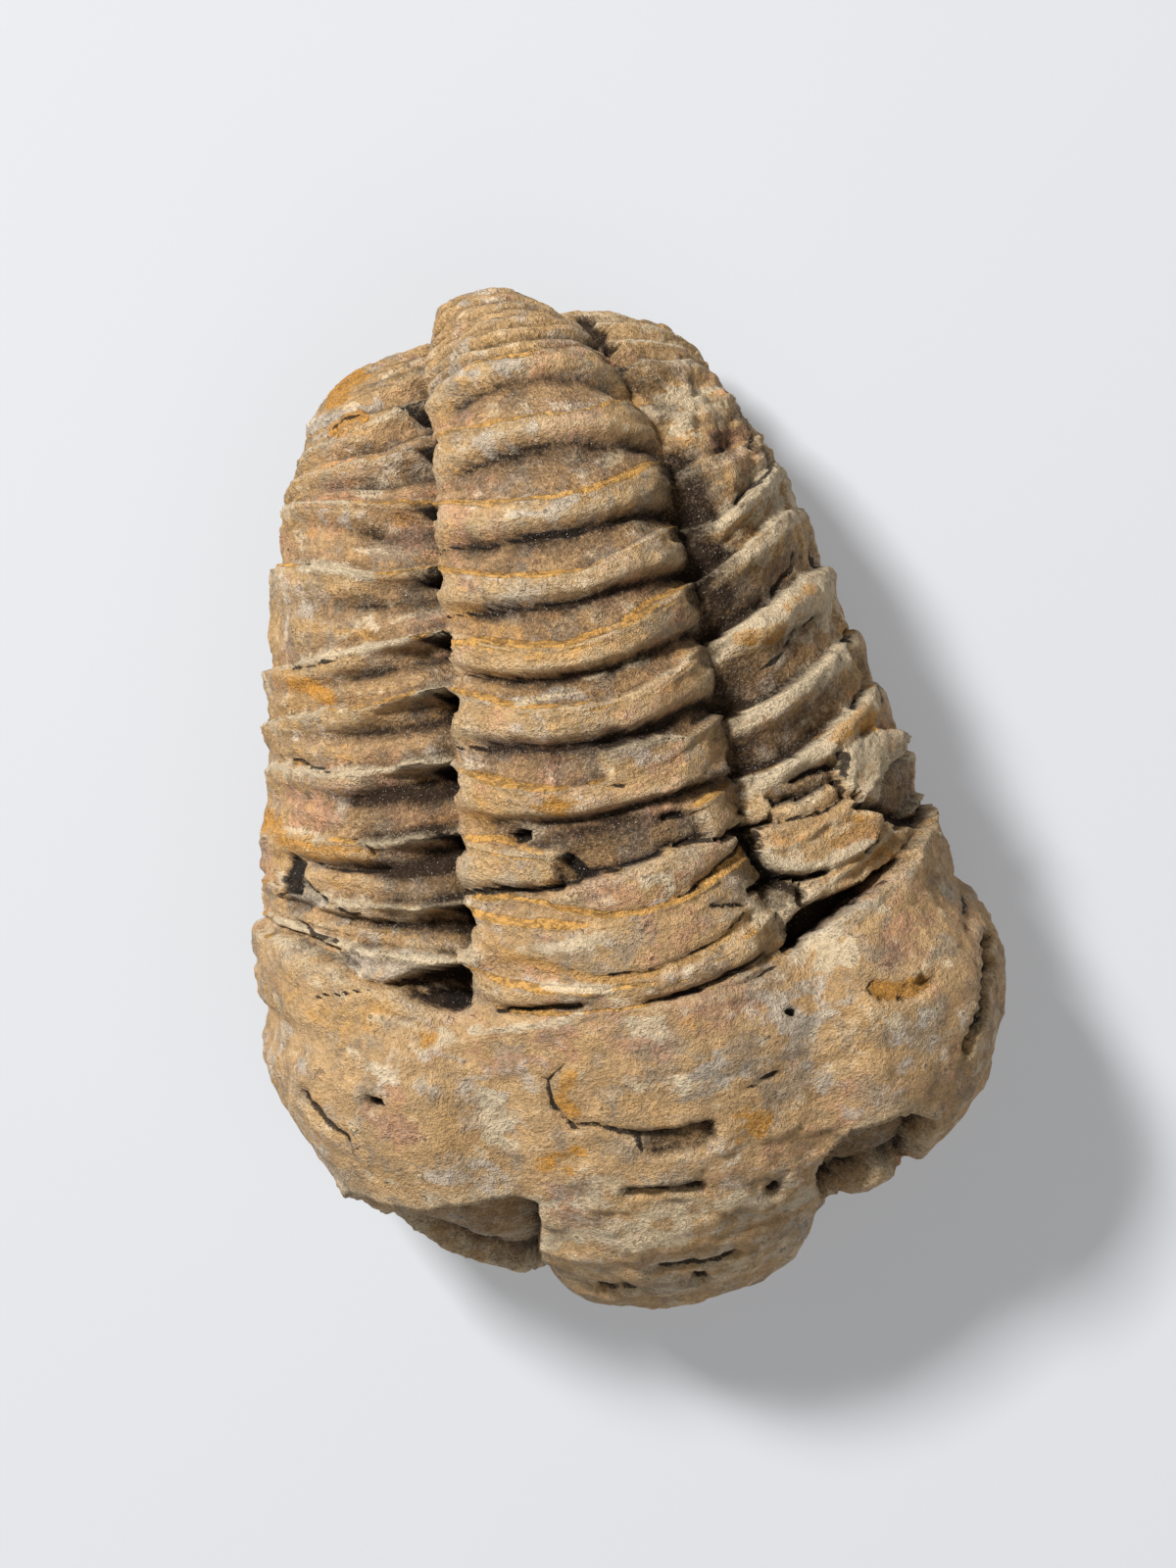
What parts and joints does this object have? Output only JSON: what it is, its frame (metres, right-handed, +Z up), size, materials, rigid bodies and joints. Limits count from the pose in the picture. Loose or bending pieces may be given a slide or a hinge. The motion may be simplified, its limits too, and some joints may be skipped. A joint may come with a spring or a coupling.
{
  "type": "fossil trilobite",
  "caption": "Loose curled fossil trilobite in brown stone, with ribbed thorax, axial lobe, worn head slab and a flat worn belly that it rests on.",
  "frame": {"origin": "middle of the worn flat patch on the belly, on the surface that the fossil rests on", "axes": "+Z up from the belly to the back, +Y along the animal from the head to the tail, +X across it, to the animal's left when seen from above with the tail away"},
  "size_m": [0.0469, 0.0656, 0.0288],
  "materials": {
    "fossil_stone": "rough weathered brown limestone with ochre and cream staining"
  },
  "bodies": {
    "root": {"trilobite": "fossil_stone"}
  },
  "joints": []
}
